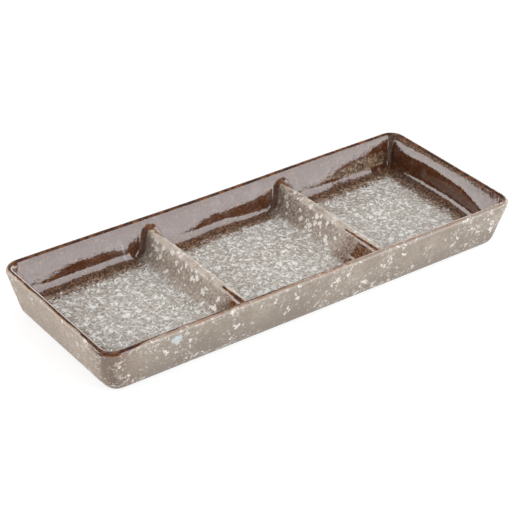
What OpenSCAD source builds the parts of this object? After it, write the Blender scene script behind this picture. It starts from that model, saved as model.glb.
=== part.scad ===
// A shallow stoneware sauce dish with three wells in a row.
// Lengths are in millimetres. X runs along the dish, Y across it and Z up.
// The origin lies under the middle of the dish, on the surface that it stands on.
// Outside sizes are those of the glazed dish, so the clay lies one coat of glaze inside them.

/* [Dish] */
// Length over the rim
dish_l = 245; // [200:1:300]
// Width over the rim
dish_w = 97; // [80:1:140]
// Height from the table to the top of the rim
dish_h = 27; // [25.5:0.5:40]
// Plan radius of the outer corners, at the rim
corner_r = 9; // [7:0.5:20]
// Lean of the outer walls from upright, in degrees
outer_lean = 13; // [5:0.5:20]
// Radius of the rounded edge under the outer walls
edge_r = 9; // [6:0.5:12]
// Thickness of the rounded rim
rim_t = 3.7; // [3:0.1:5]

/* [Wells] */
// Lean of the inner walls from upright, in degrees
inner_lean = 20; // [10:0.5:26]
// Radius of the hollow between the floor and the walls
hollow_r = 6; // [3:0.5:8]
// Thickness of the floor, glaze included
floor_t = 7.6; // [5:0.1:9]

/* [Dividers] */
// Distance between the crests of the two dividers
divider_spacing = 82; // [60:1:100]
// Height of a divider above the glazed floor
divider_h = 13.6; // [10:0.2:15.4]
// Radius of a divider's rounded crest
crest_r = 3; // [1.5:0.1:4]
// Lean of a divider's faces from upright, in degrees
divider_lean = 22; // [10:1:30]
// Radius of the hollow where a divider meets the floor
root_r = 5; // [2:0.5:8]

/* [Foot] */
// Height of the foot ring
foot_h = 1.2; // [1:0.1:2]
// Width of the foot ring's band
foot_w = 4; // [2:0.5:8]
// Distance from the outside of the rim, seen from above, to the foot ring
foot_inset = 13; // [12:0.5:20]
// Plan radius of the foot ring's outer corners
foot_corner_r = 6; // [5:0.5:12]

/* [Glaze] */
// Thickness of a coat of glaze
glaze_t = 0.4; // [0.2:0.05:0.8]

/* [Hidden] */

// How far a cut runs past what it cuts
overrun = 0.5;
// Steps in each arc of a divider's outline
arc_steps = 8;
$fn = 32;

// The rim is a half-round bead, whose flat side is level with the top of the walls
bead_r = rim_t / 2;
wall_top = dish_h - bead_r;
floor_top = foot_h + floor_t;
well_corner_r = corner_r - rim_t;
crest_x = divider_spacing / 2;

clay = "#c9b79c";
well_brown = "#7a6252";
rim_brown = "#5a3420";
greige = "#ac9f90";

// Shared shapes

// How far a ball's centre lies inside the top edge of a leaning wall that touches the ball
function ball_inset(lean, r, drop) = (r + drop * sin(lean)) / cos(lean);

module rounded_rectangle(l, w, r) {
    square([l - 2 * r, w], center = true);
    square([l, w - 2 * r], center = true);
    for (x = [-1, 1], y = [-1, 1])
        translate([x * (l / 2 - r), y * (w / 2 - r)])
            circle(r);
}

// A ball whose widest and lowest points lie exactly one radius from its centre
module ball(r) {
    rotate_extrude()
        intersection() {
            circle(r);
            translate([0, -r])
                square([r, 2 * r]);
        }
}

// A solid with rounded lower edges and leaning sides, up to just above the walls' top.
// inset is from the outside of the rim, and centre_z is the height of the four lower balls.
// grow moves every face outwards by that much.
module basin(inset, plan_r, lean, ball_r, centre_z, grow) {
    centre_inset = inset + ball_inset(lean, ball_r, wall_top - centre_z);
    hull() {
        translate([0, 0, wall_top])
            linear_extrude(overrun)
                rounded_rectangle(dish_l - 2 * (inset - grow), dish_w - 2 * (inset - grow), plan_r + grow);
        for (x = [-1, 1], y = [-1, 1])
            translate([x * (dish_l / 2 - centre_inset), y * (dish_w / 2 - centre_inset), centre_z])
                ball(ball_r + grow);
    }
}

// What lies between two heights
module between(low, high) {
    intersection() {
        children();
        translate([-dish_l / 2, -dish_w / 2, low])
            cube([dish_l, dish_w, high - low]);
    }
}

// The outside of the dish below the rim, at a depth under the face of the glaze
module outside(depth) {
    basin(0, corner_r, outer_lean, edge_r, edge_r, -depth);
}

// The hollow of the whole tray, with the dividers left out
module hollow(depth) {
    basin(rim_t, well_corner_r, inner_lean, hollow_r, floor_top + hollow_r, depth);
}

// Sweeps a section round the rim. The section's X is the distance from a corner's centre.
module round_the_rim() {
    run_l = dish_l - 2 * corner_r;
    run_w = dish_w - 2 * corner_r;
    for (x = [0, 1], y = [0, 1])
        mirror([x, 0, 0])
            mirror([0, y, 0])
                translate([run_l / 2, run_w / 2, 0])
                    rotate_extrude(angle = 90)
                        children();
    for (y = [0, 1])
        mirror([0, y, 0])
            translate([-run_l / 2, run_w / 2, 0])
                rotate([90, 0, 90])
                    linear_extrude(run_l)
                        children();
    for (x = [0, 1])
        mirror([x, 0, 0])
            translate([run_l / 2, run_w / 2, 0])
                rotate([90, 0, 0])
                    linear_extrude(run_w)
                        children();
}

module half_disc(r) {
    intersection() {
        circle(r);
        translate([-r, 0])
            square([2 * r, r]);
    }
}

// Points of an arc
function arc(centre, r, from, to) =
    [for (i = [0:arc_steps]) centre + r * [cos(from + (to - from) * i / arc_steps),
                                           sin(from + (to - from) * i / arc_steps)]];

// The right half of a divider's outline, from the crest down to the floor.
// The crest and root arcs keep their centres, so the outline at a depth is an even coat inside the glaze.
function half_ridge(depth) =
    let (crest = [0, floor_top + divider_h - crest_r],
         root_z = floor_top + root_r,
         root_x = (crest_r + root_r - (root_z - crest[1]) * sin(divider_lean)) / cos(divider_lean))
    concat(arc(crest, crest_r - depth, 90, divider_lean),
           arc([root_x, root_z], root_r + depth, 180 + divider_lean, 270));

module ridge_outline(depth) {
    right = half_ridge(depth);
    floor_z = floor_top - depth;
    below = floor_z - overrun;
    left = [for (i = [len(right) - 1:-1:1]) [-right[i][0], right[i][1]]];
    last = right[len(right) - 1];
    polygon(concat(right, [[last[0], below], [-last[0], below]], left));
}

// A ridge across the dish, at a depth under the face of the glaze, on a divider's line
module ridge(x, depth) {
    translate([x, dish_w / 2, 0])
        rotate([90, 0, 0])
            linear_extrude(dish_w)
                ridge_outline(depth);
}

// Clay pieces

module stoneware_tray() {
    color(clay) {
        difference() {
            between(foot_h, wall_top)
                outside(glaze_t);
            hollow(glaze_t);
        }
        round_the_rim()
            translate([corner_r - bead_r, wall_top])
                half_disc(bead_r - glaze_t);
    }
}

module divider(x) {
    color(clay)
        between(floor_top - glaze_t, wall_top)
            intersection() {
                ridge(x, glaze_t);
                hollow(glaze_t);
            }
}

module left_divider() {
    divider(-crest_x);
}

module right_divider() {
    divider(crest_x);
}

module foot_outline(inset) {
    rounded_rectangle(dish_l - 2 * (foot_inset + inset), dish_w - 2 * (foot_inset + inset), foot_corner_r - inset);
}

module foot_ring() {
    color(clay)
        linear_extrude(foot_h)
            difference() {
                foot_outline(0);
                foot_outline(foot_w);
            }
}

// Glaze coats

// The coat of one well, between two planes across the dish
module well_glaze(low_x, high_x) {
    color(well_brown)
        intersection() {
            translate([low_x, -dish_w / 2, 0])
                cube([high_x - low_x, dish_w, wall_top]);
            difference() {
                hollow(glaze_t);
                for (x = [-crest_x, crest_x])
                    ridge(x, glaze_t);
                difference() {
                    hollow(0);
                    for (x = [-crest_x, crest_x])
                        ridge(x, 0);
                }
            }
        }
}

module left_well_glaze() {
    well_glaze(-dish_l / 2, -crest_x);
}

module middle_well_glaze() {
    well_glaze(-crest_x, crest_x);
}

module right_well_glaze() {
    well_glaze(crest_x, dish_l / 2);
}

module rim_glaze() {
    color(rim_brown)
        round_the_rim()
            translate([corner_r - bead_r, wall_top])
                difference() {
                    half_disc(bead_r);
                    circle(bead_r - glaze_t);
                }
}

module outer_glaze() {
    color(greige)
        difference() {
            between(foot_h - glaze_t, wall_top)
                outside(0);
            between(foot_h, wall_top + overrun)
                outside(glaze_t);
            linear_extrude(foot_h)
                foot_outline(0);
        }
}

module underside_glaze() {
    color(greige)
        translate([0, 0, foot_h - glaze_t])
            linear_extrude(glaze_t)
                foot_outline(foot_w);
}

stoneware_tray();
left_divider();
right_divider();
foot_ring();
left_well_glaze();
middle_well_glaze();
right_well_glaze();
rim_glaze();
outer_glaze();
underside_glaze();
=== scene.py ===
# %% [markdown]
# A shallow stoneware sauce dish with three wells in a row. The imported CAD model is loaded
# first, as a frame that nothing here moves. Each visible glaze coat is then made again with
# finer shape and a procedural finish, in the same place as the CAD solid that it stands for.

import math

import bmesh
import bpy
import numpy as np
from mathutils import Matrix, Vector


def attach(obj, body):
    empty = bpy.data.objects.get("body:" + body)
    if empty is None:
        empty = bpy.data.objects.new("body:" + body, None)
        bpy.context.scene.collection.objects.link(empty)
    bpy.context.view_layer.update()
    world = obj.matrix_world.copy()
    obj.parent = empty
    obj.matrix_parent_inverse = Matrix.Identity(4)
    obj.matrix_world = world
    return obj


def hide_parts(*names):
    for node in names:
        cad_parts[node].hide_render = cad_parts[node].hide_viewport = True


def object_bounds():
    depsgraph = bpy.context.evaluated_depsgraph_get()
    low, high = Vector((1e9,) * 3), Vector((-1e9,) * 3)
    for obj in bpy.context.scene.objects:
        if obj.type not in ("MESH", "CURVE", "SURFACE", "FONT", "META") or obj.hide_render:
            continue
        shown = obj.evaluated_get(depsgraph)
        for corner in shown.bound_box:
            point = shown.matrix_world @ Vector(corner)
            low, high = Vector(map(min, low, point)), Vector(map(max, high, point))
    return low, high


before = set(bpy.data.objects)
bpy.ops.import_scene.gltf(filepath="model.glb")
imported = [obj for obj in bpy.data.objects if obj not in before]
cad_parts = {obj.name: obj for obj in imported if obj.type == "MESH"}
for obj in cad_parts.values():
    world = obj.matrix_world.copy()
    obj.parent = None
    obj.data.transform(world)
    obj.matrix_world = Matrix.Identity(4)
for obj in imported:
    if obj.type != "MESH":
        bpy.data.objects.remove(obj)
cad_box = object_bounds()
print("nodes", sorted(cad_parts))

# %% [markdown]
# The sizes are those of the glazed dish, in millimetres, because potters think in them. The
# outside length, width and height are read from the CAD nodes, so they can't drift apart.

# %% Sizes
MM = 0.001
low, high = (np.array(v) / MM for v in cad_box)
DISH_L, DISH_W, DISH_H = (high - low).round(3)
HALF = np.array([DISH_L, DISH_W]) / 2

# Outside: plan corners, lean of the walls, lower edge, bead of the rim, glaze and foot ring
CORNER_R = 9.0
OUTER_LEAN = math.radians(13)
EDGE_R = 9.0
BEAD_R = 1.85
WALL_TOP = DISH_H - BEAD_R
GLAZE_T = 0.4
FOOT_H = 1.2
FOOT_INSET, FOOT_W, FOOT_R = 13.0, 4.0, 6.0

# Inside: lean of the walls where they leave the rim, floor, hollows and dividers
FLARE_LEAN = math.radians(42)
FLOOR_Z = 8.8
LONG_HOLLOW_R, END_HOLLOW_R = 5.6, 5.4
DIVIDER_X = 41.0
CREST_R, CREST_Z = 3.0, 22.4
DIVIDER_LEAN = math.radians(22)
print("dish", DISH_L, "x", DISH_W, "x", DISH_H, "mm")

# %% [markdown]
# The camera stands where the photographer's did: in front, to the left, looking down at about
# 32 degrees with a long lens, so that the sides hardly converge.

# %% Camera
CAMERA_AZIMUTH = math.radians(-36.21)
CAMERA_ELEVATION = math.radians(31.57)
CAMERA_ROLL = math.radians(0.578)
CAMERA_AWAY = 0.8841
CAMERA_TARGET = Vector((-3.028, 3.689, 11.76)) * MM
LENS, SENSOR = 124.643, 36.0

back = Vector((
    math.sin(CAMERA_AZIMUTH) * math.cos(CAMERA_ELEVATION),
    -math.cos(CAMERA_AZIMUTH) * math.cos(CAMERA_ELEVATION),
    math.sin(CAMERA_ELEVATION),
))
level_right = Vector((math.cos(CAMERA_AZIMUTH), math.sin(CAMERA_AZIMUTH), 0))
level_up = back.cross(level_right)
right = level_right * math.cos(CAMERA_ROLL) + level_up * math.sin(CAMERA_ROLL)
turned = Matrix((right, back.cross(right), back)).transposed().to_4x4()
camera = bpy.data.objects.new("camera", bpy.data.cameras.new("camera"))
camera.data.lens = LENS
camera.data.sensor_width = SENSOR
camera.data.clip_start = 0.05
camera.matrix_world = Matrix.Translation(CAMERA_TARGET + back * CAMERA_AWAY) @ turned
scene = bpy.context.scene
scene.collection.objects.link(camera)
scene.camera = camera
scene.view_settings.view_transform = "Standard"
print("camera at", [round(v, 4) for v in camera.location])

# %% [markdown]
# Every material here is a small tree of nodes. put adds a node with its settings and inputs,
# and step does so in the tree of the sockets that it is given. The other helpers are single
# steps of arithmetic, so that a material reads like a formula.

# %% Node helpers
def is_socket(value):
    return isinstance(value, bpy.types.NodeSocket)


def connect(node, inputs):
    """Link each input that is given a socket, and set each one that is given a value."""
    for key, value in inputs.items():
        if is_socket(value):
            node.id_data.links.new(value, node.inputs[key])
        else:
            node.inputs[key].default_value = value
    return node


def put(tree, kind, inputs=None, **settings):
    node = tree.nodes.new(kind)
    for name, value in settings.items():
        setattr(node, name, value)
    return connect(node, inputs or {})


def step(kind, inputs, **settings):
    tree = next(value.id_data for value in inputs.values() if is_socket(value))
    return put(tree, "ShaderNode" + kind, inputs, **settings).outputs


def calc(operation, *values):
    return step("Math", dict(enumerate(values)), operation=operation)[0]


def repeated(operation):
    """A function that applies an operation to any number of values, from left to right."""
    def apply(first, *others):
        for other in others:
            first = calc(operation, first, other)
        return first
    return apply


plus, minus, times = map(repeated, ("ADD", "SUBTRACT", "MULTIPLY"))
over, larger = map(repeated, ("DIVIDE", "MAXIMUM"))


def scaled(value, factor, shift):
    return calc("MULTIPLY_ADD", value, factor, shift)


def absolute(value):
    return calc("ABSOLUTE", value)


def combine(*values):
    return step("CombineXYZ", dict(enumerate(values)))[0]


def vector_calc(operation, *values):
    inputs = dict(zip((0, 3) if operation == "SCALE" else (0, 1), values))
    result = "Value" if operation in ("LENGTH", "DOT_PRODUCT") else "Vector"
    return step("VectorMath", inputs, operation=operation)[result]

# %% [markdown]
# Most of a glaze is one colour laid over another where a mask says so. A mask is a value from
# 0 to 1, which ramp makes out of a height, a distance or a noise. Colours are written as they
# look on a screen, and shade turns them into the light values that a shader works in.

# %% Masks and colours
def ramp(value, start, end, low=0.0, high=1.0, straight=False):
    inputs = dict(enumerate((value, start, end, low, high)))
    curve = "LINEAR" if straight else "SMOOTHSTEP"
    return step("MapRange", inputs, interpolation_type=curve)[0]


def blend(mask, a, b):
    return step("Mix", {0: mask, 6: a, 7: b}, data_type="RGBA")[2]


def paint(base, mask, strength, colour):
    """Lay a colour over the base where the mask is 1, and no more strongly than this."""
    return blend(times(mask, strength), base, colour)


def noise(vector, scale, detail=3.0, roughness=0.6):
    inputs = {"Vector": vector, "Scale": scale, "Detail": detail, "Roughness": roughness}
    return step("TexNoise", inputs)["Fac"]


def shade(red, green, blue):
    part = [v / 255 for v in (red, green, blue)]
    return tuple(v / 12.92 if v <= 0.04045 else ((v + 0.055) / 1.055) ** 2.4 for v in part) + (1.0,)


def new_material(name):
    material = bpy.data.materials.new(name)
    material.use_nodes = True
    material.node_tree.nodes.clear()
    return material, material.node_tree


def dress(material, colour, roughness, ior, relief, strength=0.3, depth=0.0004):
    """Give a material its shader: colour, roughness and relief vary, and ior is a constant."""
    normal = step("Bump", {"Strength": strength, "Distance": depth, "Height": relief})[0]
    inputs = {"Base Color": colour, "Roughness": roughness, "IOR": ior, "Normal": normal}
    step("OutputMaterial", {"Surface": step("BsdfPrincipled", inputs)[0]})
    print(material.name, len(material.node_tree.nodes), "nodes")


print("the walls' brown as light", [round(v, 3) for v in shade(72, 39, 22)])

# %% [markdown]
# The dish stands on a plain white floor. The floor is shown white to the camera and to glossy
# surfaces, by a glow of its own, and still darkens a little where the dish shades it.

# %% Floor
FLOOR_HALF = 7.0
FLOOR_GREY, SEEN_GREY, SEEN_GLOW = 0.8, 0.3, 0.8
floor_mesh = bpy.data.meshes.new("floor")
corners = [(x * FLOOR_HALF, y * FLOOR_HALF, 0) for x, y in ((-1, -1), (1, -1), (1, 1), (-1, 1))]
floor_mesh.from_pydata(corners, [], [(0, 1, 2, 3)])
floor = bpy.data.objects.new("floor", floor_mesh)
scene.collection.objects.link(floor)
floor_material, tree = new_material("white_floor")
path = put(tree, "ShaderNodeLightPath").outputs
seen = larger(path["Is Camera Ray"], path["Is Glossy Ray"], path["Is Transmission Ray"])
matte, pale = (put(tree, "ShaderNodeBsdfDiffuse", {"Color": (grey, grey, grey, 1)})
               for grey in (FLOOR_GREY, SEEN_GREY))
glow = put(tree, "ShaderNodeEmission", {"Color": (1, 1, 1, 1), "Strength": SEEN_GLOW})
lit = step("AddShader", {0: pale.outputs[0], 1: glow.outputs[0]})[0]
mixed = step("MixShader", {0: seen, 1: matte.outputs[0], 2: lit})[0]
step("OutputMaterial", {"Surface": mixed})
floor_mesh.materials.append(floor_material)
print("floor", 2 * FLOOR_HALF, "m square")

# %% [markdown]
# A glossy glaze shows what surrounds it, so the studio matters as much as the glaze. Two large
# softboxes stand low on opposite sides, one in front to the right and one behind to the left,
# and the well walls mirror them. The front one is a shade cooler. A weak one hangs overhead.

# %% Softboxes
LAMP_AWAY = 1.6


def softbox(name, azimuth, elevation, width, height, radiance, tint=(1, 1, 1)):
    """A rectangular lamp that faces the dish. azimuth is counted from +X towards +Y."""
    a, e = math.radians(azimuth), math.radians(elevation)
    out = Vector((math.cos(a) * math.cos(e), math.sin(a) * math.cos(e), math.sin(e)))
    lamp = bpy.data.lights.new(name, "AREA")
    lamp.shape = "RECTANGLE"
    lamp.size, lamp.size_y = width, height
    lamp.energy = radiance * math.pi * width * height
    lamp.color = tint
    box = bpy.data.objects.new(name, lamp)
    facing = out.to_track_quat("Z", "Y").to_matrix().to_4x4()
    box.matrix_world = Matrix.Translation(out * LAMP_AWAY) @ facing
    box.visible_camera = False
    scene.collection.objects.link(box)
    print(name, width, "x", height, "m, radiance", radiance)


softbox("front_right_softbox", -60, 26, 1.1, 1.35, 5.45, (0.95, 0.975, 1.0))
softbox("back_left_softbox", 138, 17, 1.3, 0.85, 5.0)
softbox("overhead_softbox", 100, 78, 0.9, 0.9, 1.2)

# %% [markdown]
# The room fills the shadows with an even light. Only reflections see more of it: white at the
# level of the table, dimmer overhead, and brightest low beyond the right end of the dish.

# %% Room
FILL, BRIGHT = 0.42, 4.0
BRIGHT_WAY = (0.974, 0.225, 0)
world = bpy.data.worlds.new("studio")
scene.world = world
world.use_nodes = True
tree = world.node_tree
tree.nodes.clear()
direction = put(tree, "ShaderNodeTexCoord").outputs["Generated"]
rise = step("SeparateXYZ", {0: direction})["Z"]
level_way = vector_calc("MULTIPLY", direction, (1, 1, 0))
toward = over(vector_calc("DOT_PRODUCT", level_way, BRIGHT_WAY), vector_calc("LENGTH", level_way))
bright_end = times(ramp(toward, 0.71, 0.75), ramp(rise, -0.02, 0.02), ramp(rise, 0.42, 0.36))
room = scaled(bright_end, BRIGHT, ramp(rise, 0.12, 0.6, 1.0, 0.35))
path = put(tree, "ShaderNodeLightPath").outputs
mirrored = larger(path["Is Glossy Ray"], path["Is Transmission Ray"])
level = step("Mix", {0: mirrored, 2: FILL, 3: room})[0]
level = step("Mix", {0: path["Is Camera Ray"], 2: level, 3: 1.0})[0]
light = step("Background", {"Color": (1, 1, 1, 1), "Strength": level})[0]
step("OutputWorld", {"Surface": light})
print("room", len(tree.nodes), "nodes")

# %% [markdown]
# Flecks, ragged edges and mottling turn up in every glaze on this dish. Flecks and ragged edges
# are node groups that the materials share. Flecks come from a Voronoi pattern: each cell holds
# one ellipsoid with its own turn, size and chance of being there, and noise roughens its edge.

# %% Node group: flecks
def new_group(name, inputs, *outputs):
    """An input without a default is a vector, and all others are numbers."""
    group = bpy.data.node_groups.new(name, "ShaderNodeTree")
    for label, default in inputs.items():
        kind = "NodeSocketVector" if default is None else "NodeSocketFloat"
        socket = group.interface.new_socket(label, in_out="INPUT", socket_type=kind)
        if default is not None:
            socket.default_value = default
    for label in outputs:
        group.interface.new_socket(label, in_out="OUTPUT", socket_type="NodeSocketFloat")
    return group, put(group, "NodeGroupInput").outputs, put(group, "NodeGroupOutput")


def build_flecks(name, flat):
    """Flat flecks lie in X and Y and suit a floor. The others are solid and suit every face."""
    defaults = {"Vector": None, "Cell": 0.002, "Length": 0.5, "Width": 0.25, "Share": 0.5,
                "Raggedness": 0.3, "Softness": 0.25, "Seed": 0.0}
    group, given, result = new_group(name, defaults, "Mask", "Tint")
    placed = vector_calc("SCALE", given["Vector"], over(1.0, given["Cell"]))
    placed = vector_calc("ADD", placed, combine(*[given["Seed"]] * 3))
    wobble = step("TexNoise", {"Vector": placed, "Scale": 2.3, "Detail": 2.0})["Color"]
    wobble = vector_calc("SUBTRACT", wobble, (0.5, 0.5, 0.5))
    placed = vector_calc("ADD", placed, vector_calc("SCALE", wobble, given["Raggedness"]))
    if flat:
        placed = vector_calc("MULTIPLY", placed, (1, 1, 0))
    cells = step("TexVoronoi", {"Vector": placed, "Scale": 1.0},
                 voronoi_dimensions="2D" if flat else "3D")
    turn = vector_calc("SCALE", cells["Color"], math.tau)
    if flat:
        turn = vector_calc("MULTIPLY", turn, (0, 0, 1))
    local = vector_calc("SUBTRACT", placed, cells["Position"])
    local = step("VectorRotate", {"Vector": local, "Rotation": turn}, rotation_type="EULER_XYZ")[0]
    axes = combine(given["Length"], given["Width"], given["Width"])
    reach = vector_calc("LENGTH", vector_calc("DIVIDE", local, axes))
    chance = step("SeparateXYZ", {0: cells["Color"]})
    reach = over(reach, ramp(chance["Y"], 0.0, 1.0, 0.55, 1.0))
    mask = ramp(reach, 1.0, minus(1.0, given["Softness"]), straight=True)
    there = calc("LESS_THAN", calc("FRACT", times(chance["X"], 7.3)), given["Share"])
    connect(result, {"Mask": times(mask, there), "Tint": chance["X"]})
    print(name, len(group.nodes), "nodes")
    return group


fleck_groups = {False: build_flecks("flecks", False), True: build_flecks("flat_flecks", True)}


def fleck_node(vector, cell, length, width, share, raggedness, softness, seed=0.0, flat=False):
    """cell is in millimetres, length and width are shares of it, and share is of the cells."""
    inputs = {"Vector": vector, "Cell": cell * MM, "Length": length, "Width": width, "Share": share,
              "Raggedness": raggedness, "Softness": softness, "Seed": seed}
    return step("Group", inputs, node_tree=fleck_groups[flat])


def flecks(*sizes, flat=False):
    return fleck_node(*sizes, flat=flat)["Mask"]

# %% [markdown]
# A glaze changes colour where it runs thin or pools, and the border between two colours is
# never a clean line. This group turns a distance into a mask whose edge wanders with noise.

# %% Node group: ragged edge
edge_defaults = {"Distance": 0.0, "Vector": None, "Edge": 1.0, "Width": 0.5, "Wander": 1.0,
                 "Grain": 300.0, "Fine": 0.0}
edge_group, given, result = new_group("ragged_edge", edge_defaults, "Mask")
large = minus(noise(given["Vector"], given["Grain"]), 0.5)
tiny = minus(noise(given["Vector"], times(given["Grain"], 7.0), 2.0), 0.5)
moved = plus(given["Distance"], times(large, given["Wander"]), times(tiny, given["Fine"]))
edge, width = given["Edge"], given["Width"]
connect(result, {"Mask": ramp(moved, plus(edge, width), minus(edge, width))})
print("ragged_edge", len(edge_group.nodes), "nodes")


def ragged(distance, vector, edge, width, wander, grain, fine):
    """1 where the distance is below the edge, in millimetres, with a wandering border."""
    inputs = {"Distance": distance, "Vector": vector, "Edge": edge, "Width": width,
              "Wander": wander, "Grain": grain, "Fine": fine}
    return step("Group", inputs, node_tree=edge_group)["Mask"]

# %% [markdown]
# Outside glaze: a satin warm grey with off-white flecks of three sizes and some curdled lumps,
# thrown on in clusters. Lower down the wall the grey is darker, which is painted shade. The left
# end is warmer and lighter, which is painted light, and the front left corner is browner and
# darker, partly brown glaze and partly painted shade. One pale splash sits under the front rim.
# Satin means a fairly rough surface with a weak highlight.

# %% Material: outside glaze
def surface_inputs(tree):
    """A point's coordinates in metres, and its x, y and height in millimetres."""
    coords = put(tree, "ShaderNodeTexCoord").outputs["Object"]
    xyz = step("SeparateXYZ", {0: coords})
    return coords, *(over(xyz[axis], MM) for axis in "XYZ")


def from_front_left(x, y):
    return plus(absolute(plus(x, 119)), absolute(plus(y, 45)))


def greige_glaze(coords, x, y, height):
    """The outside's colour, painted shade and light included, its grain and its relief, which the
    rim has beside its brown line.
    """
    cloud = noise(coords, 42.0, 4.0)
    base = blend(ramp(cloud, 0.3, 0.7), shade(139, 126, 114), shade(164, 151, 137))
    # Painted shade: the grey darkens towards the bottom of the wall, with a cloudy border.
    low = plus(height, times(cloud, 10.0))
    base = blend(ramp(low, 24.0, 9.0, 0.0, 0.8), base, shade(124, 112, 102))
    # Painted light: the left end is lighter and warmer.
    base = blend(ramp(x, -114, -118, 0.0, 0.45), base, shade(184, 160, 140))
    # Partly brown glaze, partly painted shade: the front left corner is browner and darker.
    base = blend(ramp(from_front_left(x, y), 22, 4, 0.0, 0.85), base, shade(120, 96, 78))
    grain = noise(coords, 900.0)
    base = blend(ramp(grain, 0.42, 0.72, 0.0, 0.8), base, shade(130, 115, 100))
    cluster = noise(coords, 55.0)
    few = ramp(cluster, 0.38, 0.6, 0.12, 0.95)
    tiny = flecks(coords, 1.3, 0.62, 0.36, few, 1.2, 0.6, 3.0)
    base = paint(base, tiny, 0.55, shade(194, 184, 172))
    small = fleck_node(coords, 2.4, 0.72, 0.3, few, 1.6, 0.4)
    base = paint(base, small["Mask"], scaled(small["Tint"], 0.5, 0.45), shade(212, 204, 195))
    some = ramp(cluster, 0.42, 0.6, 0.08, 0.9)
    big = flecks(coords, 5.0, 0.5, 0.32, some, 1.9, 0.25, 7.0)
    base = paint(base, big, 0.9, shade(226, 220, 212))
    lump = times(ramp(noise(coords, 300.0, 4.0, 0.65), 0.585, 0.62), ramp(cluster, 0.46, 0.6))
    base = paint(base, lump, 0.75, shade(214, 206, 197))
    relief = scaled(cloud, 0.5, times(larger(big, lump, small["Mask"]), 0.2))
    return base, grain, relief


SPLASH_AT, SPLASH_SIZE = (-0.0847, -0.048, 0.022), (0.0034, 0.004, 0.0042)
outer_material, tree = new_material("outer_glaze")
coords, *place = surface_inputs(tree)
base, grain, relief = greige_glaze(coords, *place)
from_splash = vector_calc("DIVIDE", vector_calc("SUBTRACT", coords, SPLASH_AT), SPLASH_SIZE)
splash = ragged(vector_calc("LENGTH", from_splash), coords, 0.7, 0.15, 2.6, 300.0, 1.2)
base = paint(base, splash, 0.75, shade(200, 208, 211))
dress(outer_material, base, scaled(grain, 0.12, 0.38), 1.5, relief)

# %% [markdown]
# Rim glaze: over the narrow rim the glaze is thin, and the iron in it burns to a dark brown
# line. The line wanders and breaks up, is thinner along the front and wider at the front left
# corner, and has a rusty halo on its outer side.

# %% Material: rim glaze
rim_material, tree = new_material("rim_glaze")
coords, x, y, height = surface_inputs(tree)
down = put(tree, "ShaderNodeAttribute", attribute_name="down").outputs["Fac"]
outward = times(down, -1.0)
# Beside its line the rim takes the outside's colour, with its painted light and shade.
outside, _, relief = greige_glaze(coords, x, y, height)
width = ramp(noise(coords, 48.0), 0.4, 0.6)
corner_band = ramp(from_front_left(x, y), 28, 4, 0.0, 2.0)
halo_edge = plus(scaled(width, 1.2, 0.5), corner_band)
halo = ragged(outward, coords, halo_edge, 0.35, 1.3, 260.0, 0.8)
rust = blend(ramp(noise(coords, 350.0), 0.4, 0.62), shade(150, 98, 62), shade(168, 136, 114))
base = paint(outside, halo, 0.55, rust)
in_front = times(ramp(y, -44, -46), ramp(x, -115, -85))
line_edge = minus(plus(scaled(width, 0.8, 0.2), corner_band), times(in_front, 0.75))
line = ragged(outward, coords, line_edge, 0.12, 0.8, 240.0, 0.6)
burnt = ramp(noise(coords, 320.0, 3.0, 0.7), 0.42, 0.68)
base = blend(line, base, blend(burnt, shade(56, 29, 15), shade(126, 76, 40)))
dress(rim_material, base, scaled(line, -0.32, 0.42), 1.55, relief)

# %% [markdown]
# Well glaze: one glaze lines all three wells, and looks different on floors, dividers and
# walls, so it is built up in layers. The mesh carries two distances, to the outer walls and to
# the nearest divider, which say where on the dish a point is.
#
# The floors come first: pale grey ground with a dense layer of short white dashes, crumbs and
# clumps that all lie flat in it.

# %% Well glaze: floors
well_material, tree = new_material("well_glaze")
coords, x, y, height = surface_inputs(tree)
to_wall, to_ridge = (put(tree, "ShaderNodeAttribute", attribute_name=name).outputs["Fac"]
                     for name in ("to_wall", "to_ridge"))
wide = noise(coords, 32.0, 3.0, 0.55)
middling = noise(coords, 150.0)
fine = noise(coords, 750.0, 3.0, 0.65)

ground = blend(ramp(wide, 0.35, 0.65), shade(172, 162, 151), shade(185, 179, 170))
ground = blend(ramp(fine, 0.42, 0.66, 0.0, 0.75), ground, shade(138, 123, 108))
curd = ramp(noise(coords, 430.0, 4.0, 0.7), 0.5, 0.6)
ground = paint(ground, curd, 0.75, shade(224, 219, 213))
crumb = flecks(coords, 1.5, 0.6, 0.42, 0.7, 0.5, 0.5, 3.0, flat=True)
ground = paint(ground, crumb, 0.65, shade(218, 212, 205))
thick = ramp(middling, 0.38, 0.6, 0.35, 1.0)
dash = fleck_node(coords, 2.5, 0.6, 0.24, thick, 0.55, 0.4, 9.0, flat=True)
dash_colour = blend(dash["Tint"], shade(222, 218, 213), shade(248, 247, 245))
ground = paint(ground, dash["Mask"], 0.85, dash_colour)
long_dash = flecks(coords, 4.2, 0.52, 0.13, times(thick, 0.8), 0.22, 0.4, 21.0, flat=True)
ground = paint(ground, long_dash, 0.85, shade(250, 249, 247))
clump = flecks(coords, 5.5, 0.34, 0.25, times(thick, 0.85), 1.0, 0.35, 41.0, flat=True)
ground = paint(ground, clump, 0.9, shade(244, 242, 238))
print("floors", len(tree.nodes), "nodes")
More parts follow.
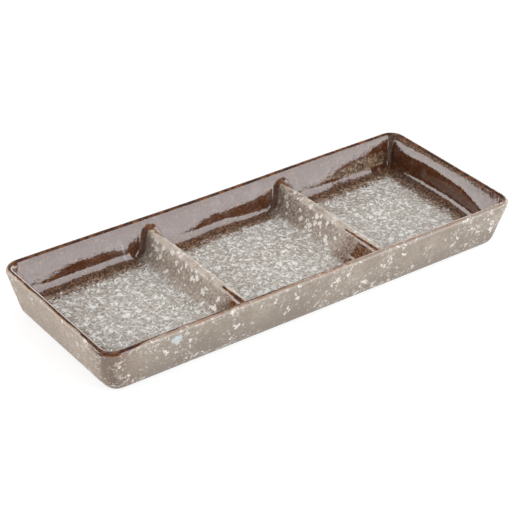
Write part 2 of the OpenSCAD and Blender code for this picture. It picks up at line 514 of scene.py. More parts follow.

# %% [markdown]
# The dividers' faces are browner, with fine chips and rounder blobs. Their crests are painted
# paler, which is a painted highlight along each crest.

# %% Well glaze: dividers
face = blend(ramp(wide, 0.35, 0.65), shade(150, 133, 119), shade(172, 158, 145))
face = blend(ramp(x, 10, -10, 0.0, 0.45), face, shade(182, 167, 153))
face = blend(ramp(fine, 0.42, 0.68, 0.0, 0.8), face, shade(118, 98, 82))
chip = flecks(coords, 1.4, 0.85, 0.5, 0.85, 0.6, 0.5, 13.0)
face = paint(face, chip, 0.65, shade(206, 194, 182))
blob = flecks(coords, 3.8, 0.6, 0.42, 0.75, 0.9, 0.2, 11.0)
face = paint(face, blob, 0.95, shade(238, 233, 227))
# Painted highlight: the crest is painted paler than the faces.
crest = times(ramp(height, CREST_Z - 2.6, CREST_Z - 0.6), ramp(to_ridge, 2.0, 0.5))
face = paint(face, crest, ramp(middling, 0.35, 0.6, 0.2, 0.65), shade(204, 190, 176))
body = blend(ragged(to_ridge, coords, 1.6, 1.2, 2.2, 250.0, 1.5), ground, face)
print("with dividers", len(tree.nodes), "nodes")

# %% [markdown]
# Along the foot of the walls the pale layer thins out to brown speckle, and in the hollow
# itself to a dark stain. Both are weaker where a divider comes near.

# %% Well glaze: margins
on_ridge = ramp(to_ridge, 2.5, 0.5)
speck = blend(ramp(fine, 0.42, 0.6), shade(66, 39, 22), shade(150, 117, 90))
bits = flecks(coords, 1.0, 0.62, 0.4, 0.65, 0.9, 0.5, 5.0)
speck = paint(speck, bits, 0.85, shade(208, 187, 167))
margin = ragged(scaled(on_ridge, 1.8, to_wall), coords, 6.2, 0.9, 7.0, 120.0, 13.0)
body = paint(body, margin, scaled(on_ridge, -0.55, 0.95), speck)
stain = ragged(scaled(on_ridge, 1.6, to_wall), coords, 3.4, 0.5, 3.0, 160.0, 3.5)
dark = blend(ramp(fine, 0.45, 0.62), shade(60, 34, 18), shade(122, 84, 52))
body = paint(body, stain, scaled(on_ridge, -0.5, 0.85), dark)
print("with margins", len(tree.nodes), "nodes")

# %% [markdown]
# The walls are a deep glossy brown with amber flecks and a thin veil of grey, which is a painted
# reflection. On the back wall of the left well a narrow pale stripe comes down, which is a painted
# reflection too.

# %% Well glaze: walls
PAINTED_REFLECTION_X = -57.8
deep = blend(ramp(fine, 0.45, 0.7), shade(72, 39, 22), shade(108, 64, 36))
amber = flecks(coords, 2.2, 0.55, 0.4, 0.4, 1.0, 0.6, 31.0)
deep = paint(deep, amber, 0.6, shade(144, 96, 48))
# Painted reflection: a thin grey veil in clouds over the brown, which mottles the walls'
# reflection.
deep = blend(ramp(middling, 0.46, 0.72, 0.0, 0.3), deep, shade(126, 112, 104))
wall = ragged(scaled(on_ridge, -0.7, to_wall), coords, 1.3, 0.25, 0.7, 260.0, 0.4)
body = blend(wall, body, deep)
at_back = ramp(y, 20, 30)
# Painted reflection: a narrow pale stripe down the back wall of the left well.
painted_reflection_stripe = ragged(absolute(minus(x, PAINTED_REFLECTION_X)), coords, 0.7, 0.25, 1.2, 260.0, 0.5)
body = paint(body, times(painted_reflection_stripe, wall, at_back, ramp(height, 19.5, 18.0)), 0.7, shade(132, 121, 116))
print("with walls", len(tree.nodes), "nodes")

# %% [markdown]
# A glossy amber streak runs along each divider's crest from both walls, a little to one side,
# and tapers to its end. The right divider's front streak is the longest. Each crest also has a
# narrow brown shoulder along its right side.

# %% Well glaze: streaks on the crests
from_crest = times(minus(absolute(x), DIVIDER_X), calc("SIGN", x))
at_front, on_right = ramp(y, 0, -10), ramp(x, -10, 10)
front_right = times(at_front, on_right)
streak_end = plus(scaled(at_front, 7.0, 13.0), times(front_right, 8.0))
taper = ramp(to_wall, streak_end, 3.0, 0.35, 1.0, straight=True)
aside = plus(scaled(at_front, 1.7, -0.6), times(front_right, 0.9))
streak = ragged(absolute(plus(from_crest, aside)), coords, taper, 0.15, 0.9, 300.0, 0.4)
streak = times(
    streak,
    ramp(height, CREST_Z - 2.6, CREST_Z - 1.8),
    ramp(height, CREST_Z + 1.1, CREST_Z + 0.5),
    ramp(to_wall, streak_end, minus(streak_end, 2.5)),
)
body = blend(streak, body, blend(ramp(middling, 0.4, 0.6), shade(76, 42, 20), shade(128, 82, 40)))
print("with streaks", len(tree.nodes), "nodes")

# %% [markdown]
# The dividers' front ends are burnt: speckled brown first, and maroon close to the wall. The
# right divider is lightly browned at the back as well.

# %% Well glaze: burnt ends of the dividers
below_crest = ramp(height, CREST_Z - 0.5, CREST_Z - 1.6)
near_front = times(ramp(y, 2, -8), ramp(to_ridge, 4.5, 1.5), below_crest)
rusted = ragged(to_wall, coords, scaled(on_right, 10.0, 12.0), 1.5, 10.0, 130.0, 14.0)
body = paint(body, times(rusted, near_front), 0.85, speck)
near_back = times(ramp(y, 8, 30), ramp(to_ridge, 3.0, 1.0), on_right, ramp(fine, 0.46, 0.56))
body = paint(body, near_back, 0.55, shade(96, 66, 46))
maroon = ragged(to_wall, coords, scaled(on_right, 6.0, 8.5), 0.8, 6.0, 150.0, 5.0)
maroon = times(maroon, near_front)
red_brown = blend(ramp(fine, 0.45, 0.65), shade(88, 48, 26), shade(146, 106, 72))
body = paint(body, maroon, 0.9, red_brown)
shoulder = times(
    ramp(from_crest, 0.9, 1.7),
    ramp(height, CREST_Z - 2.6, CREST_Z - 2.0),
    ramp(noise(coords, 210.0), 0.44, 0.54),
    ramp(to_wall, 1.0, 2.5),
)
body = paint(body, shoulder, 0.7, shade(104, 66, 42))
print("with burnt ends", len(tree.nodes), "nodes")

# %% [markdown]
# The right end wall has a rusty band under its rim, wider towards the back. Low on the back
# wall of the right well the brown is mottled with pale specks.

# %% Well glaze: rusty band and mottled foot
band = ramp(y, -30, 40, 0.9, 2.7, straight=True)
under_rim = ragged(minus(DISH_H, height), coords, band, 0.3, 1.6, 180.0, 1.4)
under_rim = times(under_rim, ramp(x, 115.5, 117.0))
rusty = blend(ramp(fine, 0.46, 0.62), shade(52, 26, 12), shade(130, 82, 38))
body = blend(under_rim, body, paint(rusty, bits, 0.5, shade(190, 156, 112)))

mottle_top = ramp(x, 50, 100, 15.5, 19.0)
mottle_foot = ramp(x, 70, 85, 14.4, 12.6)
patches = ramp(noise(coords, 190.0), 0.44, 0.52)
mottle = times(
    ramp(x, 46, 58),
    ramp(x, 113, 108),
    ragged(height, coords, mottle_top, 0.5, 5.0, 150.0, 4.0),
    ramp(height, mottle_foot, plus(mottle_foot, 0.8)),
    larger(patches, ramp(x, 75, 90)),
    wall,
    at_back,
)
mottled = blend(ramp(middling, 0.42, 0.6), shade(70, 42, 20), shade(132, 104, 74))
mottled = blend(ramp(fine, 0.5, 0.58, 0.0, 0.85), mottled, shade(170, 152, 130))
body = paint(body, mottle, 0.85, paint(mottled, bits, 0.5, shade(50, 30, 18)))
print("with band and mottling", len(tree.nodes), "nodes")

# %% [markdown]
# Gloss follows the layers: bare brown glaze shines like glass, and whatever is speckled is
# duller. The relief is a slight ripple, with the flecks standing a little proud of it.

# %% Well glaze: shine and relief
shine = larger(wall, times(stain, 0.75), streak, times(maroon, 0.9))
shine = times(shine, minus(1.0, larger(under_rim, times(mottle, 0.7))))
rough = scaled(shine, -0.42, scaled(under_rim, 0.2, 0.48))
proud = times(larger(dash["Mask"], blob), minus(1.0, shine))
relief = scaled(middling, 0.5, scaled(noise(coords, 380.0), 1.6, times(proud, 0.25)))
dress(well_material, body, rough, 1.55, relief, depth=0.0003)

# %% [markdown]
# Bare clay shows only on the foot ring, where the glaze was wiped off before firing. It is
# matte, gritty and slightly toasted.

# %% Material: stoneware
clay_material, tree = new_material("stoneware")
coords = surface_inputs(tree)[0]
grit = noise(coords, 1400.0, 3.0, 0.7)
toast = noise(coords, 45.0)
base = blend(ramp(toast, 0.35, 0.65), shade(214, 198, 172), shade(190, 166, 134))
base = blend(ramp(grit, 0.6, 0.72), base, shade(120, 96, 72))
dress(clay_material, base, scaled(grit, 0.15, 0.75), 1.45, grit, strength=0.4, depth=0.0002)

# %% [markdown]
# Stoneware settles a little in the kiln: the long back rim dips in the middle. One function
# bends every piece the same way, so that the coats stay together.

# %% Settling in the kiln
SAG, SAG_X, SAG_REACH = 0.8, -5, 62


def smooth(value, start, end):
    t = np.clip((value - start) / (end - start), 0, 1)
    return t * t * (3 - 2 * t)


def settle(p):
    """How far a point sinks, in millimetres. p holds rows of x, y and z in millimetres."""
    x, y, z = p.T
    return SAG * np.exp(-((x - SAG_X) / SAG_REACH) ** 2) * smooth(y, 25, 44) * smooth(z, 10, 23)


print("the back rim dips", settle(np.array([[SAG_X, HALF[1], DISH_H]]))[0].round(2), "mm")

# %% [markdown]
# Outside coat, rim coat, clay tray, foot ring and underside all have one section that follows
# the same rounded rectangle round the dish. Extruding could not do that, because the walls
# lean and the corner radius shrinks on the way down. So a Geometry Nodes tree lofts them: a
# grid of points takes its place round the dish from a filleted rectangle and its inset, corner
# radius and height from the points of a section.

# %% Geometry Nodes: loft round the dish
DOUBLES = 1e-7
CORNER_STEPS = 24


def live(sockets):
    """The value socket that a node's settings leave in use."""
    return next(s for s in sockets if s.name == "Value" and s.enabled)


def sample(geometry, index, kind, value):
    """The value that one point of a geometry has."""
    inputs = {"Geometry": geometry, "Index": index}
    node = put(geometry.id_data, "GeometryNodeSampleIndex", inputs, data_type=kind)
    node.id_data.links.new(value, live(node.inputs))
    return live(node.outputs)


def build_loft():
    tree = bpy.data.node_groups.new("loft_round_the_dish", "GeometryNodeTree")
    tree.is_modifier = True

    def made(kind, inputs=None, **settings):
        return put(tree, "GeometryNode" + kind, inputs, **settings).outputs[0]

    kinds = {"Section": "Geometry", "Half Length": "Float", "Half Width": "Float",
             "Corner Radius": "Float", "Steps Around": "Int", "Section Points": "Int",
             "Material": "Material"}
    for label, kind in kinds.items():
        tree.interface.new_socket(label, in_out="INPUT", socket_type="NodeSocket" + kind)
    tree.interface.new_socket("Coat", in_out="OUTPUT", socket_type="NodeSocketGeometry")
    given = put(tree, "NodeGroupInput").outputs
    section, corner, rows = given["Section"], given["Corner Radius"], given["Section Points"]

    size = {"Width": times(given["Half Length"], 2.0), "Height": times(given["Half Width"], 2.0)}
    outline = made("CurvePrimitiveQuadrilateral", size)
    fillet = {"Curve": outline, "Count": CORNER_STEPS, "Radius": corner}
    outline = made("FilletCurve", fillet, mode="POLY")
    grid = made("MeshGrid", {"Vertices X": plus(given["Steps Around"], 1.0), "Vertices Y": rows})

    index = made("InputIndex")
    column = calc("FLOOR", over(plus(index, 0.5), rows))
    row = minus(index, times(column, rows))
    inputs = {"Curves": outline, "Factor": over(column, given["Steps Around"])}
    point = put(tree, "GeometryNodeSampleCurve", inputs, mode="FACTOR", use_all_curves=True)
    point = point.outputs["Position"]
    level = sample(section, row, "FLOAT_VECTOR", made("InputPosition"))
    inset, plan_r, height = step("SeparateXYZ", {0: level})

    half = combine(given["Half Length"], given["Half Width"])
    radius = combine(corner, corner)
    core = vector_calc("SUBTRACT", half, radius)
    centre = vector_calc("MAXIMUM", point, vector_calc("MULTIPLY", core, (-1, -1, 0)))
    centre = vector_calc("MINIMUM", centre, core)
    outward = vector_calc("DIVIDE", vector_calc("SUBTRACT", point, centre), radius)
    pulled = plus(inset, plan_r)
    shrink = vector_calc("DIVIDE", vector_calc("SUBTRACT", half, combine(pulled, pulled)), core)
    placed = vector_calc("MULTIPLY", centre, shrink)
    placed = vector_calc("ADD", placed, vector_calc("SCALE", outward, plan_r))
    placed = vector_calc("ADD", placed, combine(0.0, 0.0, height))
    coat = made("SetPosition", {"Geometry": grid, "Position": placed})

    down = put(tree, "GeometryNodeInputNamedAttribute", {"Name": "down"}, data_type="FLOAT")
    down = sample(section, row, "FLOAT", down.outputs["Attribute"])
    stored = put(tree, "GeometryNodeStoreNamedAttribute", {"Geometry": coat, "Name": "down"},
                 data_type="FLOAT", domain="POINT")
    tree.links.new(down, live(stored.inputs))
    coat = made("MergeByDistance", {"Geometry": stored.outputs[0], "Distance": DOUBLES})
    coat = made("SetShadeSmooth", {"Geometry": coat})
    coat = made("RealizeInstances", {"Geometry": coat})
    coat = made("SetMaterial", {"Geometry": coat, "Material": given["Material"]})
    put(tree, "NodeGroupOutput", {"Coat": coat})
    return tree


loft_tree = build_loft()
loft_inputs = [item for item in loft_tree.interface.items_tree if item.in_out == "INPUT"]
socket_of = {item.name: item.identifier for item in loft_inputs}
print("loft inputs", socket_of)

# %% [markdown]
# The result of the tree is turned into a plain mesh and the modifier is dropped. Doubles are
# merged, an open edge is closed, and the faces are turned outwards before the piece settles.

# %% Lofting a piece
STEPS_AROUND = 664


def loft(name, section, material, sharp=40, steps=STEPS_AROUND):
    """section has rows of inset, corner radius, height and distance down, in millimetres."""
    section = np.array(section, float)
    mesh = bpy.data.meshes.new(name)
    mesh.from_pydata((section[:, :3] * MM).tolist(), [], [])
    down = mesh.attributes.new("down", "FLOAT", "POINT")
    down.data.foreach_set("value", section[:, 3].astype(np.float32))
    piece = bpy.data.objects.new(name, mesh)
    scene.collection.objects.link(piece)
    modifier = piece.modifiers.new("loft", "NODES")
    modifier.node_group = loft_tree
    values = {"Half Length": HALF[0] * MM, "Half Width": HALF[1] * MM,
              "Corner Radius": CORNER_R * MM, "Steps Around": steps,
              "Section Points": len(section), "Material": material}
    for label, value in values.items():
        modifier[socket_of[label]] = value
    graph = bpy.context.evaluated_depsgraph_get()
    made = bpy.data.meshes.new_from_object(
        piece.evaluated_get(graph), preserve_all_data_layers=True, depsgraph=graph)
    piece.modifiers.clear()
    piece.data = made
    made.name = name
    close_and_turn(made)
    co = np.zeros(len(made.vertices) * 3, np.float32)
    made.vertices.foreach_get("co", co)
    p = co.reshape(-1, 3).astype(float) / MM
    p[:, 2] -= settle(p)
    made.vertices.foreach_set("co", (p * MM).astype(np.float32).ravel())
    made.polygons.foreach_set("use_smooth", np.ones(len(made.polygons), bool))
    made.set_sharp_from_angle(angle=math.radians(sharp))
    made.update()
    print(name, len(made.vertices), "points", len(made.polygons), "faces")
    return piece


def close_and_turn(mesh):
    work = bmesh.new()
    work.from_mesh(mesh)
    bmesh.ops.remove_doubles(work, verts=work.verts, dist=DOUBLES)
    open_edges = [e for e in work.edges if e.is_boundary]
    if open_edges:
        bmesh.ops.holes_fill(work, edges=open_edges, sides=0)
    bmesh.ops.recalc_face_normals(work, faces=work.faces)
    bmesh.ops.triangulate(work, faces=[f for f in work.faces if len(f.verts) > 4])
    work.to_mesh(mesh)
    work.free()

# %% [markdown]
# A section is a list of inset, corner radius and height. Each coat's section runs along its
# outer face and back along its inner one, so that the loft is a closed shell.

# %% Sections
def arc(inset, z, radius, start, end, count):
    """Points and outward normals. Angles are from the way out of the dish, up positive."""
    turns = np.radians(np.linspace(start, end, count))
    normal = np.stack([-np.cos(turns), np.sin(turns)], 1)
    return np.array([inset, z]) + radius * normal, normal


def run_length(points):
    return np.concatenate([[0], np.cumsum(np.linalg.norm(np.diff(points, axis=0), axis=1))])


def shell(points, normals, plan, depth, down):
    """A closed section from a face and the same face a depth below it."""
    inner = points - depth * normals
    face = np.column_stack([points[:, 0], plan(points[:, 0]), points[:, 1], down])
    under = np.column_stack([inner[:, 0], plan(inner[:, 0]), inner[:, 1], down])[::-1]
    return np.vstack([face, under, face[:1]])

# %% [markdown]
# Outside coat: from the rim the wall leans in by 13 degrees on its way down and rolls under
# in a wide curve to the foot. The lower curve is two arcs that meet smoothly.

# %% Outside coat
TUCK_ANGLE = 60
lean = math.degrees(OUTER_LEAN)
sin_lean, cos_lean = math.sin(OUTER_LEAN), math.cos(OUTER_LEAN)
sin_tuck, cos_tuck = math.sin(math.radians(TUCK_ANGLE)), math.cos(math.radians(TUCK_ANGLE))
top_point = np.array([BEAD_R * (1 - cos_lean), WALL_TOP - BEAD_R * sin_lean])
wall_end_z = EDGE_R * (1 - sin_lean)
wall_end = np.array([top_point[0] + (top_point[1] - wall_end_z) * math.tan(OUTER_LEAN), wall_end_z])
edge_centre = wall_end[0] + EDGE_R * cos_lean
under_z = FOOT_H - GLAZE_T
small_r = (EDGE_R * (1 - sin_tuck) - under_z) / (1 - sin_tuck)
small_centre = (edge_centre - (EDGE_R - small_r) * cos_tuck, EDGE_R - (EDGE_R - small_r) * sin_tuck)

wall_line = top_point + np.linspace(0, 1, 22)[:-1, None] * (wall_end - top_point)
wall_normal = np.tile([-cos_lean, -sin_lean], (len(wall_line), 1))
roll, roll_normal = arc(edge_centre, EDGE_R, EDGE_R, -lean, -TUCK_ANGLE, 16)
tuck_in, tuck_normal = arc(*small_centre, small_r, -TUCK_ANGLE, -90, 8)
flat = np.column_stack([np.linspace(small_centre[0], FOOT_INSET, 5)[1:], np.full(4, under_z)])
flat_normal = np.tile([0, -1.0], (4, 1))
outer_face = np.vstack([wall_line, roll[:-1], tuck_in, flat])
outer_normal = np.vstack([wall_normal, roll_normal[:-1], tuck_normal, flat_normal])


def outer_plan(inset):
    """Corner radius on the outside at an inset."""
    start = small_centre[0]
    wall = CORNER_R - inset * (CORNER_R - (edge_centre - wall_end[0])) / wall_end[0]
    rolled = np.where(inset < wall_end[0], wall, edge_centre - inset)
    start_r = edge_centre - start
    flat_r = start_r + (FOOT_R - start_r) * (inset - start) / (FOOT_INSET - start)
    return np.where(inset > start, flat_r, rolled)


outer_section = shell(outer_face, outer_normal, outer_plan, GLAZE_T, 3 + run_length(outer_face))
outer_coat = loft("outer_coat", outer_section, outer_material)

# %% [markdown]
# Rim coat: a half round over the top of the wall, from the outer wall's slope to the inner
# wall's, so that the light runs over it without a break.

# %% Rim coat
flare = 180 - math.degrees(FLARE_LEAN)
rim_face, rim_normal = arc(BEAD_R, WALL_TOP, BEAD_R, -lean, flare, 34)
rim_down = run_length(rim_face) - BEAD_R * math.radians(90 + lean)
rim_section = shell(rim_face, rim_normal, lambda inset: CORNER_R - inset, GLAZE_T, rim_down)
rim_coat = loft("rim_coat", rim_section, rim_material)

# %% [markdown]
# Foot ring: a low band of clay with eased edges, which carries the dish.

# %% Foot ring
EASE = 0.35
foot = [(FOOT_INSET, FOOT_H), (FOOT_INSET, EASE), (FOOT_INSET + 0.1, 0.1), (FOOT_INSET + EASE, 0)]
foot += [(2 * FOOT_INSET + FOOT_W - i, z) for i, z in foot[::-1]]
foot_section = [(i, FOOT_R - (i - FOOT_INSET), z, 0) for i, z in foot + foot[:1]]
foot_band = loft("foot_band", foot_section, clay_material, sharp=50)

# %% [markdown]
# Underside coat: the shallow recess inside the foot ring is glazed too. Its two faces are
# lofted out from the ring and closed by a flat face each.

# %% Underside coat
inner_edge = FOOT_INSET + FOOT_W
inner_r = FOOT_R - FOOT_W
recess = [(inner_edge + 6, under_z), (inner_edge + 0.8, under_z),
          (inner_edge + 0.25, under_z - 0.04), (inner_edge, under_z - 0.12),
          (inner_edge, FOOT_H), (inner_edge + 6, FOOT_H)]
recess = [(inset, inner_r, z, 0) for inset, z in recess]
underside_coat = loft("underside_coat", recess, outer_material, sharp=50)

# %% [markdown]
# Well linings: walls, floor and dividers flow into each other with soft hollows between them.
# Each of those shapes is easy to write as a distance, and a rounded union of distances gives
# the hollows for nothing. The walls come first. They rise steeply from the floor, lean out
# more above a kink, and flare into the rim. Where the kink lies wanders along each wall.

# %% Wall shapes
INNER_TOP = np.array([BEAD_R * (1 + math.cos(FLARE_LEAN)),
                      WALL_TOP + BEAD_R * math.sin(FLARE_LEAN)])
KINK_SOFTNESS = 0.7
LONG_POWER, END_POWER = 5.0, 1.4

# Places along a wall, and the height of the kink at each of them
LONG_KINK = (
    (-122, -110, -104, -99, -91, -82.7, -74.4, -68.8, -60.5, -57.0, -54.4, -52.0, -50, -45, -38,
     -17, -10.4, -4.2, 26, 33, 38, 55, 71, 78, 85, 99.5, 104.5, 111, 122),
    (12.0, 12.8, 14.0, 15.4, 17.4, 17.9, 17.4, 18.0, 16.6, 15.0, 14.4, 16.2, 16.8, 16.6, 13.2,
     14.4, 16.5, 18.2, 18.2, 16.6, 16.0, 13.6, 15.0, 17.6, 19.2, 18.8, 20.7, 21.8, 22.2),
)
END_KINK = (
    (-47, -38, -30, -22, -14, 0, 12, 22, 31, 47),
    (14.0, 15.5, 17.2, 19.2, 20.6, 21.0, 21.4, 20.4, 19.4, 19.2),
)

# Slopes below and above the kink
LONG_SLOPES = (math.tan(math.radians(15)), math.tan(math.radians(23)))
END_SLOPES = (math.tan(math.radians(11)), math.tan(math.radians(25)))


def softplus(value):
    return np.log1p(np.exp(np.clip(value, -60, 60)))


def wall_inset(z, kink, low, middle, power):
    """How far in from the rim's outside a wall is at a height. power sharpens the flare."""
    top_z, soft = INNER_TOP[1], KINK_SOFTNESS
    swell = soft * (softplus((top_z - kink) / soft) - softplus((z - kink) / soft))
    part = np.clip((z - kink) / (top_z - kink), 0, 1)
    flare = (math.tan(FLARE_LEAN) - middle) * (top_z - kink) / (power + 1)
    flare = flare * (1 - part ** (power + 1))
    return INNER_TOP[0] + low * (top_z - z) + (middle - low) * swell + flare


def long_inset(z, kink):
    return wall_inset(z, kink, *LONG_SLOPES, LONG_POWER)


def end_inset(z, kink):
    return wall_inset(z, kink, *END_SLOPES, END_POWER)


print("foot of a long wall", long_inset(FLOOR_Z, 16.0).round(2), "mm in from the rim's outside")

# %% [markdown]
# The surface is where the distance to all these shapes is nothing. A dense grid of points is
# dropped on to it later, by halving the height between above and below.

# %% Well surface
WALL_COS = math.cos(math.radians(18))
WAVES, WAVE_HEIGHT = 9, 0.03
HALVINGS = 34


def rounded_union(a, b, radius):
    corner = np.hypot(np.maximum(radius - a, 0), np.maximum(radius - b, 0))
    return np.maximum(radius, np.minimum(a, b)) - corner


def waviness(p):
    """Hand-made walls are never quite flat: a sum of long waves a tenth of a millimetre high."""
    draw = np.random.default_rng(41)
    total = np.zeros(len(p))
    for _ in range(WAVES):
        ray = draw.normal(size=3)
        ray *= 2 * math.pi / draw.uniform(20, 55) / np.linalg.norm(ray)
        total += np.sin(p @ ray + draw.uniform(0, 2 * math.pi))
    return total * WAVE_HEIGHT


def wall_distances(p):
    """Distances from the long walls, from the end walls, and from both with round corners."""
    x, y, z = p.T
    below_rim = INNER_TOP[1] - z
    wave = waviness(p) * smooth(below_rim, 0, 4)
    lengthwise = HALF[1] - np.abs(y) - long_inset(z, np.interp(x, *LONG_KINK)) + wave
    crosswise = HALF[0] - np.abs(x) - end_inset(z, np.interp(y, *END_KINK)) + wave
    corner = CORNER_R - INNER_TOP[0] - 3.4 * smooth(below_rim, 0, 3.5)
    return lengthwise, crosswise, rounded_union(lengthwise, crosswise, corner) * WALL_COS


def ridge_distance(p):
    """Distance from the nearest divider, which has a round crest and leaning faces."""
    x, z = np.abs(np.abs(p[:, 0]) - DIVIDER_X), p[:, 2] - (CREST_Z - CREST_R)
    c, s = math.cos(DIVIDER_LEAN), math.sin(DIVIDER_LEAN)
    flank = x * c + z * s - CREST_R
    crest = np.hypot(x, z) - CREST_R
    return np.where(z * c - x * s > 0, crest, flank)


def surface(p):
    """Distance above the glaze, and the distances to the outer walls and to the dividers."""
    p = p.copy()
    p[:, 2] += settle(p)
    lengthwise, crosswise, wall = wall_distances(p)
    long_hollow = LONG_HOLLOW_R - 1.5 * smooth(p[:, 0], 4, 14) * smooth(p[:, 0], 40, 32)
    hollow = END_HOLLOW_R + (long_hollow - END_HOLLOW_R) * smooth(crosswise - lengthwise, -5, 7)
    ridge = ridge_distance(p) + 0.6 * waviness(p + 200)
    basin = rounded_union(p[:, 2] - FLOOR_Z, wall, hollow)
    radius = 3.0 + 2.0 * (1 - smooth(p[:, 2], FLOOR_Z, FLOOR_Z + 6))
    return rounded_union(basin, ridge, radius), wall, ridge


def drop(xy):
    """The height of the surface over each point, found by halving."""
    lowest, highest = np.zeros(len(xy)), np.full(len(xy), DISH_H + 1)
    for _ in range(HALVINGS):
        middle = (lowest + highest) / 2
        above = surface(np.column_stack([xy, middle]))[0] > 0
        highest = np.where(above, middle, highest)
        lowest = np.where(above, lowest, middle)
    return (lowest + highest) / 2


print("middle of a crest", drop(np.array([[DIVIDER_X, 0.0]]))[0].round(2), "mm up")

# %% [markdown]
# The grid is fine on the walls, hollows and dividers and coarse on the flat floors. Its outer
# squares are bent round the corners, so that the top row follows the rim.

# %% Grid over the wells
TOP_INSET = INNER_TOP[0]
WALL_FOOT = 17.0
WALL_LINES, CROWDING = 72, 1.15
FINE_STEP, MIDDLE_STEP, COARSE_STEP = 0.22, 0.32, 0.9
FINE_WITHIN, MIDDLE_WITHIN = 5, 12
wall_steps = TOP_INSET + (WALL_FOOT - TOP_INSET) * np.linspace(0, 1, WALL_LINES) ** CROWDING


def lines(half, features=()):
    """Positions of the grid's lines from -half to half, with both wall zones at the ends."""
    edge = half - wall_steps
    inner = [0.0]
    position = 0.0
    while position < edge[-1] - 0.6:
        near = min([abs(position - f) for f in features] or [99])
        coarser = MIDDLE_STEP if near < MIDDLE_WITHIN else COARSE_STEP
        position += FINE_STEP if near < FINE_WITHIN else coarser
        inner.append(position)
    for f in features:
        inner[int(np.argmin(np.abs(np.array(inner) - f)))] = f
    inner = [v for v in inner if v < edge[-1] - 0.3]
    positive = np.concatenate([inner, edge[::-1]])
    return np.concatenate([-positive[:0:-1], positive])


grid_x = lines(HALF[0], (DIVIDER_X,))
grid_y = lines(HALF[1])
X, Y = np.meshgrid(grid_x, grid_y, indexing="ij")
inset_x, inset_y = HALF[0] - np.abs(X), HALF[1] - np.abs(Y)
contour = np.minimum(inset_x, inset_y)
along = np.maximum(inset_x, inset_y) - contour
part = np.clip((contour - TOP_INSET) / (WALL_FOOT - TOP_INSET), 0, 1)
bend = np.where(part < 1, (CORNER_R - TOP_INSET) * (1 - part) + 0.6 * part, 0)
turn = np.radians(45) * (1 - along / np.maximum(bend, 1e-6))
far, near = contour + bend - bend * np.sin(turn), contour + bend - bend * np.cos(turn)
first, inside = inset_x <= inset_y, along < bend
bent_x = np.sign(X) * (HALF[0] - np.where(first, near, far))
bent_y = np.sign(Y) * (HALF[1] - np.where(first, far, near))
flat_xy = [np.where(inside, *pair).ravel() for pair in ((bent_x, X), (bent_y, Y))]
flat_xy = np.column_stack(flat_xy)
P = np.column_stack([flat_xy, drop(flat_xy)])
print("grid", X.shape, "lowest", P[:, 2].min().round(2), "highest", P[:, 2].max().round(2))

# %% [markdown]
# The direction of the surface comes from the same distances. It gives the coat its thickness,
# and it is also stored as the shading normal, so that three separate linings shade as one.

# %% Normals and distances
NUDGE = 0.02
slope = [surface(P + a)[0] - surface(P - a)[0] for a in np.eye(3) * NUDGE]
slope = np.stack(slope, 1)
N = slope / np.linalg.norm(slope, axis=1, keepdims=True)
_, WALL_D, RIDGE_D = surface(P)
UNDER = P - GLAZE_T * N
print("steepest slope", np.degrees(np.arccos(N[:, 2].min())).round(1), "degrees")

# %% [markdown]
# Each well's coat is a stretch of the grid's columns, closed underneath and at the sides. The
# coats meet on the crests of the dividers.

# %% Well linings
def lining(name, first_column, last_column):
    """One closed coat, from the grid's first column to its last."""
    rows = len(grid_y)
    columns = np.arange(first_column, last_column + 1)
    ids = (columns[:, None] * rows + np.arange(rows)).ravel()
    count = len(ids)
    local = np.arange(count).reshape(len(columns), rows)
    quads = np.stack([local[:-1, :-1], local[1:, :-1], local[1:, 1:], local[:-1, 1:]], -1)
    quads = quads.reshape(-1, 4)
    edge = np.concatenate([local[:, 0], local[-1, 1:], local[-2::-1, -1], local[0, -2:0:-1]])
    following = np.roll(edge, -1)
    sides = np.stack([edge, edge + count, following + count, following], -1)
    faces = np.vstack([quads, quads[:, ::-1] + count, sides])
    mesh = bpy.data.meshes.new(name)
    points = np.vstack([P[ids], UNDER[ids]]) * MM
    mesh.from_pydata(points.tolist(), [], faces.tolist())
    mesh.polygons.foreach_set("use_smooth", np.ones(len(faces), bool))
    for label, values in (("to_wall", WALL_D), ("to_ridge", RIDGE_D)):
        both = np.concatenate([values[ids], values[ids]]).astype(np.float32)
        mesh.attributes.new(label, "FLOAT", "POINT").data.foreach_set("value", both)
    normals = np.vstack([N[ids], -N[ids]])[faces]
    normals[len(quads) * 2:] = 0
    mesh.normals_split_custom_set(normals.reshape(-1, 3).tolist())
    mesh.materials.append(well_material)
    mesh.update()
    piece = bpy.data.objects.new(name, mesh)
    scene.collection.objects.link(piece)
    print(name, len(points), "points", len(faces), "faces")
    return piece


crest_columns = [int(np.argmin(np.abs(grid_x - x))) for x in (-DIVIDER_X, DIVIDER_X)]
left_lining = lining("left_well_lining", 0, crest_columns[0])
middle_lining = lining("middle_well_lining", *crest_columns)
right_lining = lining("right_well_lining", crest_columns[1], len(grid_x) - 1)

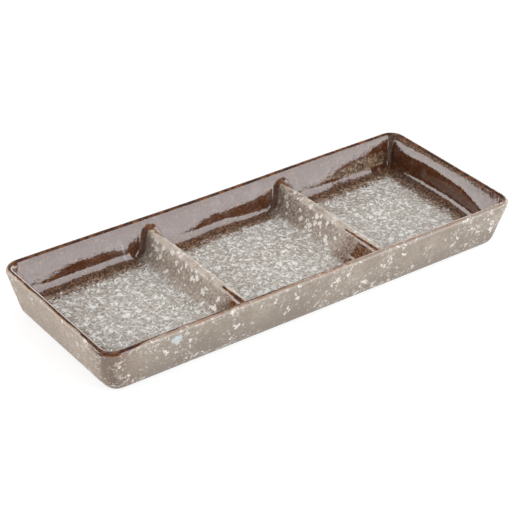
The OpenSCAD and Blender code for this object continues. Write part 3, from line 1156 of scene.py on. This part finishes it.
# %% [markdown]
# Clay tray: the body under the glaze. It is hidden, but it is what the coats lie on, so it
# follows them: up inside the walls, over the core of the rim and down to the foot. Inside it
# keeps below the lowest that the wandering walls come.

# %% Clay tray
CLAY_DEPTH = 0.55
core, _ = arc(BEAD_R, WALL_TOP, BEAD_R - GLAZE_T, flare, -lean, 16)
clay_outer = outer_face - GLAZE_T * outer_normal
levels = np.linspace(FLOOR_Z + 4, INNER_TOP[1], 12)[:-1]
clay_inset = np.minimum(end_inset(levels, 20.8), long_inset(levels, 22.0)) - CLAY_DEPTH
hollow = np.array([[6.0, -0.5], [3.0, 0.1], [1.2, 1.7]]) + (clay_inset[0], FLOOR_Z)
hollow = np.vstack([hollow, np.column_stack([clay_inset, levels])])
tray_line = np.vstack([hollow, core, clay_outer[1:], [[inner_edge + 3, FOOT_H]]])
tray_plan = [np.maximum(CORNER_R - hollow[:, 0], 0.6), CORNER_R - core[:, 0]]
tray_plan = np.concatenate([*tray_plan, outer_plan(clay_outer[1:, 0]), [inner_r]])
tray_section = [tray_line[:, 0], tray_plan, tray_line[:, 1], np.zeros(len(tray_line))]
tray_section = np.column_stack(tray_section)
clay_tray = loft("clay_tray", tray_section, clay_material, steps=STEPS_AROUND // 2)

# %% [markdown]
# Every piece rides on the dish's one body and stands for the CAD solid in its place, and the
# table lists the finish of each. The two clay dividers stay as the CAD made them.

# %% Pieces and what they stand for
roles = {
    clay_tray: (("stoneware_tray",), "stoneware"),
    foot_band: (("foot_ring",), "stoneware"),
    outer_coat: (("outer_glaze",), "outer_glaze"),
    underside_coat: (("underside_glaze",), "outer_glaze"),
    rim_coat: (("rim_glaze",), "rim_glaze"),
    left_lining: (("left_well_glaze",), "well_glaze"),
    middle_lining: (("middle_well_glaze",), "well_glaze"),
    right_lining: (("right_well_glaze",), "well_glaze"),
}
for piece, (nodes, slot) in roles.items():
    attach(piece, "root")
    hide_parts(*nodes)
for name in ("left_divider", "right_divider"):
    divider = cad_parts[name]
    divider.data.materials.clear()
    divider.data.materials.append(clay_material)
print("pieces", [piece.name for piece in roles])
